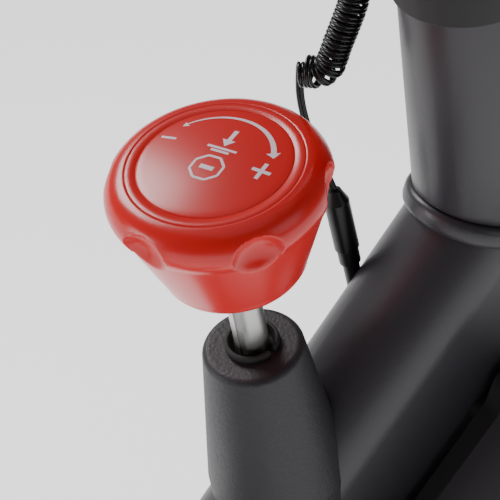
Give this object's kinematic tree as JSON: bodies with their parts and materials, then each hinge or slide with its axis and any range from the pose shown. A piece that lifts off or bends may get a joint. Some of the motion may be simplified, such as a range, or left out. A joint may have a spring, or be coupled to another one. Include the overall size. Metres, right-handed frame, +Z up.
{
  "type": "indoor spin bike",
  "caption": "Indoor spin bike with belt-driven flywheel, push-and-turn tension knob, sliding saddle and handlebar posts, toe-cage pedals and a small console.",
  "frame": {"origin": "centre of the bike's footprint on the floor", "axes": "+X forward, +Y to the rider's left, +Z up"},
  "size_m": [1.0849, 0.52, 1.1793],
  "materials": {
    "frame_paint": "charcoal satin powder coat",
    "black_plastic": "black moulded plastic",
    "boss_plastic": "charcoal leather-grained plastic",
    "guard_plastic": "charcoal moulded plastic",
    "knob_red": "red satin plastic",
    "zinc_steel": "zinc-plated steel",
    "spring_steel": "spring steel",
    "brushed_post": "brushed aluminium",
    "cast_iron": "black-coated cast iron",
    "felt": "pressed felt",
    "belt_rubber": "ribbed rubber belt",
    "pulley_alloy": "machined aluminium",
    "crank_steel": "black enamelled steel",
    "pedal_plastic": "black nylon",
    "saddle_cover": "black padded synthetic leather",
    "bar_coating": "black-coated aluminium tube",
    "grip_foam": "black foam grip",
    "console_case": "black console case",
    "button_grey": "grey rubber buttons",
    "foot_rubber": "black rubber",
    "cord_black": "black cord jacket"
  },
  "bodies": {
    "frame": {"main_tube": "frame_paint", "mitre_plate": "frame_paint", "head_tube": "frame_paint", "head_sleeve": "black_plastic", "fork_crown": "frame_paint", "fork_blades": "frame_paint", "bottom_bracket_shell": "frame_paint", "rear_beam": "frame_paint", "seat_tube": "frame_paint", "seat_sleeve": "black_plastic", "front_stabiliser": "frame_paint", "rear_stabiliser": "frame_paint", "stabiliser_caps": "black_plastic", "tension_boss": "boss_plastic", "tension_bushes": "black_plastic", "return_spring": "spring_steel", "brake_bracket": "frame_paint", "flywheel_axle": "zinc_steel", "belt_guard_inner": "black_plastic", "belt_guard_outer": "guard_plastic", "guard_screws": "zinc_steel", "drive_belt": "belt_rubber", "crank_bearings": "zinc_steel", "cord_plug": "cord_black", "cord_lead": "cord_black", "cord_curl": "cord_black"},
    "flywheel": {"flywheel": "cast_iron", "flywheel_bearings": "zinc_steel"},
    "crank": {"drive_pulley": "pulley_alloy", "crank_axle": "zinc_steel", "crank_arm_left": "crank_steel", "crank_arm_right": "crank_steel"},
    "pedal_left": {"pedal_left": "pedal_plastic", "toe_cage_left": "pedal_plastic"},
    "pedal_right": {"pedal_right": "pedal_plastic", "toe_cage_right": "pedal_plastic"},
    "brake_rod": {"tension_rod": "zinc_steel"},
    "knob": {"tension_knob": "knob_red"},
    "brake": {"brake_lever": "zinc_steel", "brake_pad": "felt"},
    "seat_post": {"seat_post": "brushed_post"},
    "saddle": {"saddle_slider": "zinc_steel", "saddle_rails": "zinc_steel", "saddle": "saddle_cover"},
    "handlebar": {"handlebar_post": "brushed_post", "handlebar": "bar_coating", "bar_grips": "grip_foam", "console": "console_case", "cord_top_plug": "cord_black"},
    "button_left": {"button_left": "button_grey"},
    "button_right": {"button_right": "button_grey"},
    "post_lock": {"post_lock_knob": "black_plastic"},
    "seat_lock": {"seat_lock_knob": "black_plastic"},
    "slider_lock": {"slider_lock_knob": "black_plastic"},
    "foot_front_left": {"foot_front_left": "foot_rubber"},
    "foot_front_right": {"foot_front_right": "foot_rubber"},
    "foot_rear_left": {"foot_rear_left": "foot_rubber"},
    "foot_rear_right": {"foot_rear_right": "foot_rubber"},
    "wheel_left": {"wheel_left": "foot_rubber"},
    "wheel_right": {"wheel_right": "foot_rubber"}
  },
  "joints": [
    {"name": "flywheel_spin", "type": "hinge", "parent": "frame", "child": "flywheel", "pos_m": [0.3175, 0, 0.29], "axis": [0, 1, 0], "continuous": true},
    {"name": "crank_spin", "type": "hinge", "parent": "frame", "child": "crank", "pos_m": [-0.10788, 0, 0.30028], "axis": [0, 1, 0], "continuous": true},
    {"name": "pedal_left_spin", "type": "hinge", "parent": "crank", "child": "pedal_left", "pos_m": [-0.1877, 0.12, 0.15018], "axis": [0, 1, 0], "continuous": true},
    {"name": "pedal_right_spin", "type": "hinge", "parent": "crank", "child": "pedal_right", "pos_m": [-0.02807, -0.12, 0.45038], "axis": [0, 1, 0], "continuous": true},
    {"name": "tension_push", "type": "slide", "parent": "frame", "child": "brake_rod", "axis": [0.1736, 0, -0.9848], "range_m": [0, 0.005], "stiffness_N_per_m": 4000, "springref_m": -0.004, "deforming": ["return_spring"]},
    {"name": "knob_turn", "type": "hinge", "parent": "brake_rod", "child": "knob", "pos_m": [0.11369, 0, 0.75223], "axis": [0.1736, 0, -0.9848], "range_deg": [0, 1260]},
    {"name": "brake_swing", "type": "hinge", "parent": "frame", "child": "brake", "pos_m": [0.19722, 0, 0.54498], "axis": [0, -1, 0], "range_deg": [0, 3.5]},
    {"name": "seat_post_slide", "type": "slide", "parent": "frame", "child": "seat_post", "axis": [-0.2924, 0, 0.9563], "range_m": [0, 0.14]},
    {"name": "saddle_slide", "type": "slide", "parent": "seat_post", "child": "saddle", "axis": [1, 0, 0], "range_m": [-0.03, 0.03]},
    {"name": "bar_post_slide", "type": "slide", "parent": "frame", "child": "handlebar", "axis": [-0.1736, 0, 0.9848], "range_m": [0, 0.13], "deforming": ["cord_curl", "cord_lead"]},
    {"name": "button_left_press", "type": "slide", "parent": "handlebar", "child": "button_left", "axis": [0.7431, 0, -0.6691], "range_m": [0, 0.0015], "stiffness_N_per_m": 800, "springref_m": -0.0005},
    {"name": "button_right_press", "type": "slide", "parent": "handlebar", "child": "button_right", "axis": [0.7431, 0, -0.6691], "range_m": [0, 0.0015], "stiffness_N_per_m": 800, "springref_m": -0.0005},
    {"name": "post_lock_turn", "type": "hinge", "parent": "frame", "child": "post_lock", "pos_m": [0.22706, 0, 0.82807], "axis": [0.9848, 0, 0.1736], "range_deg": [0, 540]},
    {"name": "seat_lock_turn", "type": "hinge", "parent": "frame", "child": "seat_lock", "pos_m": [-0.29866, 0, 0.60995], "axis": [-0.9563, 0, -0.2924], "range_deg": [0, 540]},
    {"name": "slider_lock_turn", "type": "hinge", "parent": "seat_post", "child": "slider_lock", "pos_m": [-0.34877, -0.03, 0.88998], "axis": [0, -1, 0], "range_deg": [0, 540]},
    {"name": "foot_front_left_screw", "type": "slide", "parent": "frame", "child": "foot_front_left", "axis": [0, 0, 1], "range_m": [-0.012, 0]},
    {"name": "foot_front_right_screw", "type": "slide", "parent": "frame", "child": "foot_front_right", "axis": [0, 0, 1], "range_m": [-0.012, 0]},
    {"name": "foot_rear_left_screw", "type": "slide", "parent": "frame", "child": "foot_rear_left", "axis": [0, 0, 1], "range_m": [-0.012, 0]},
    {"name": "foot_rear_right_screw", "type": "slide", "parent": "frame", "child": "foot_rear_right", "axis": [0, 0, 1], "range_m": [-0.012, 0]},
    {"name": "wheel_left_spin", "type": "hinge", "parent": "frame", "child": "wheel_left", "pos_m": [0.4955, 0.18, 0.038], "axis": [0, 1, 0], "continuous": true},
    {"name": "wheel_right_spin", "type": "hinge", "parent": "frame", "child": "wheel_right", "pos_m": [0.4955, -0.18, 0.038], "axis": [0, 1, 0], "continuous": true}
  ],
  "couplings": [
    {"joint": "crank_spin", "follows": "flywheel_spin", "ratio": 0.33333},
    {"joint": "brake_swing", "follows": "tension_push", "rad_per_m": 12.2}
  ]
}
